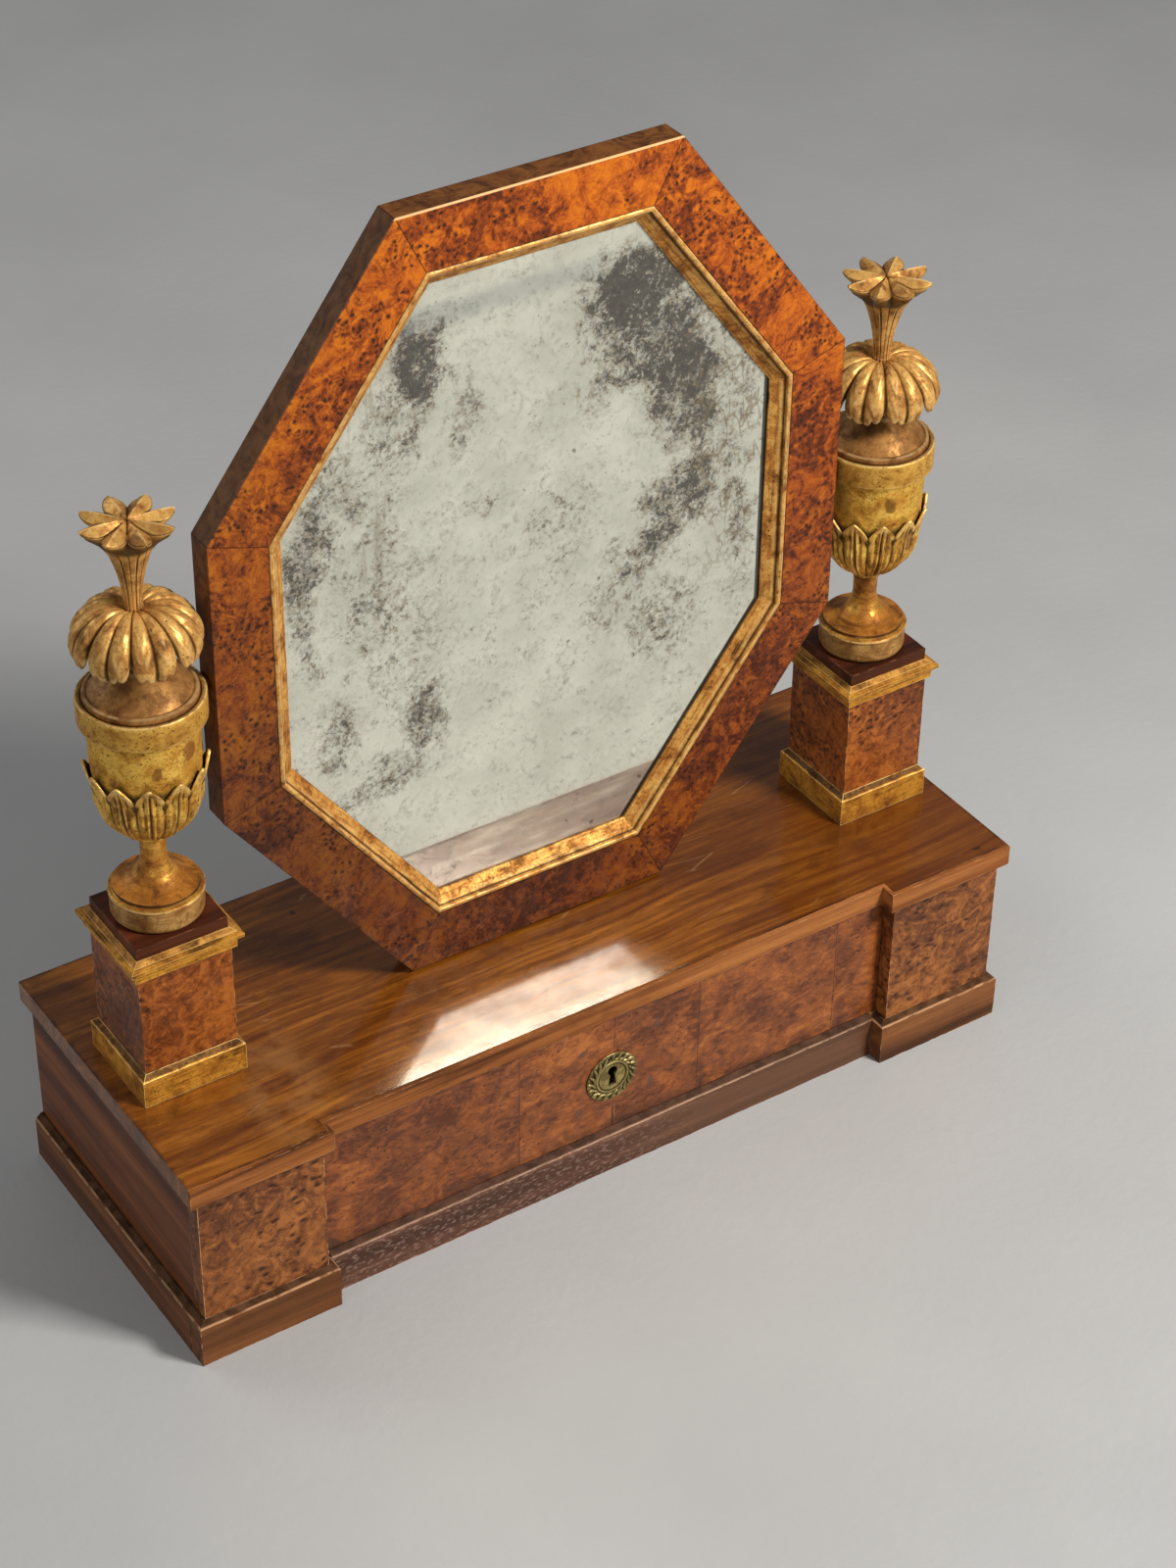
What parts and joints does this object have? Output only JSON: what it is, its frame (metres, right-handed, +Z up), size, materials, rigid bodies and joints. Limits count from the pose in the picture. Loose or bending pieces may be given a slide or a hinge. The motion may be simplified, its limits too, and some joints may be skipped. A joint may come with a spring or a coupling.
{
  "type": "table mirror",
  "caption": "Octagonal veneered mirror that turns between two gilt urns on pedestals, over a low break-front case with one drawer and a wreath escutcheon.",
  "frame": {"origin": "under the middle of the plinth, on the surface that it stands on", "axes": "X along the width, the front with the drawer faces -Y, +Z up"},
  "size_m": [0.6, 0.222, 0.6583],
  "materials": {
    "walnut_top": "gloss",
    "edge_wood": "satin",
    "wing_burr": "satin",
    "side_wood": "satin",
    "pine": "matte",
    "plinth_light": "satin",
    "plinth_dark": "satin",
    "gilt_bright": "satin",
    "gilt_brown": "satin",
    "die_burr": "satin",
    "cap_mahogany": "satin",
    "drawer_burr": "satin",
    "oak": "matte",
    "aged_brass": "satin",
    "iron": "matte",
    "frame_burr": "satin",
    "slip_gilt": "satin",
    "old_mirror": "gloss"
  },
  "bodies": {
    "base": {"top_board": "walnut_top", "top_lipping": "edge_wood", "wing_front_left": "wing_burr", "wing_front_right": "wing_burr", "side_panel_left": "side_wood", "side_panel_right": "side_wood", "partition_left": "pine", "partition_right": "pine", "back_panel": "pine", "bottom_board": "pine", "drawer_stops": "pine", "plinth_back": "pine", "plinth_wing_left": "plinth_light", "plinth_wing_right": "plinth_light", "plinth_side_left": "plinth_light", "plinth_side_right": "plinth_light", "plinth_centre": "plinth_dark", "pedestal_base_left": "gilt_bright", "pedestal_base_right": "gilt_bright", "pedestal_cornice_left": "gilt_bright", "pedestal_cornice_right": "gilt_bright", "urn_bowl_left": "gilt_bright", "urn_bowl_right": "gilt_bright", "urn_leaves_left": "gilt_bright", "urn_leaves_right": "gilt_bright", "urn_foot_left": "gilt_bright", "urn_foot_right": "gilt_bright", "urn_lid_left": "gilt_brown", "urn_lid_right": "gilt_brown", "palm_crown_left": "gilt_brown", "palm_crown_right": "gilt_brown", "star_finial_left": "gilt_brown", "star_finial_right": "gilt_brown", "pedestal_die_left": "die_burr", "pedestal_die_right": "die_burr", "pedestal_cap_left": "cap_mahogany", "pedestal_cap_right": "cap_mahogany"},
    "drawer": {"drawer_front": "drawer_burr", "drawer_side_left": "oak", "drawer_side_right": "oak", "drawer_back": "oak", "drawer_bottom": "oak", "escutcheon": "aged_brass", "escutcheon_pins": "aged_brass", "lock_case": "aged_brass", "lock_screws": "iron"},
    "lock_bolt": {"lock_bolt": "iron"},
    "mirror": {"frame_top": "frame_burr", "frame_corner_top_right": "frame_burr", "frame_right": "frame_burr", "frame_corner_bottom_right": "frame_burr", "frame_bottom": "frame_burr", "frame_corner_bottom_left": "frame_burr", "frame_left": "frame_burr", "frame_corner_top_left": "frame_burr", "sight_slip": "slip_gilt", "mirror_glass": "old_mirror", "backboard": "pine", "backboard_brads": "iron", "pivot_pins": "aged_brass"}
  },
  "joints": [
    {"name": "mirror_tilt", "type": "hinge", "parent": "base", "child": "mirror", "pos_m": [0, 0, 0.401], "axis": [1, 0, 0], "continuous": true},
    {"name": "drawer_slide", "type": "slide", "parent": "base", "child": "drawer", "axis": [0, -1, 0], "range_m": [0, 0.14]},
    {"name": "bolt_throw", "type": "slide", "parent": "drawer", "child": "lock_bolt", "axis": [0, 0, 1], "range_m": [0, 0.005]}
  ]
}
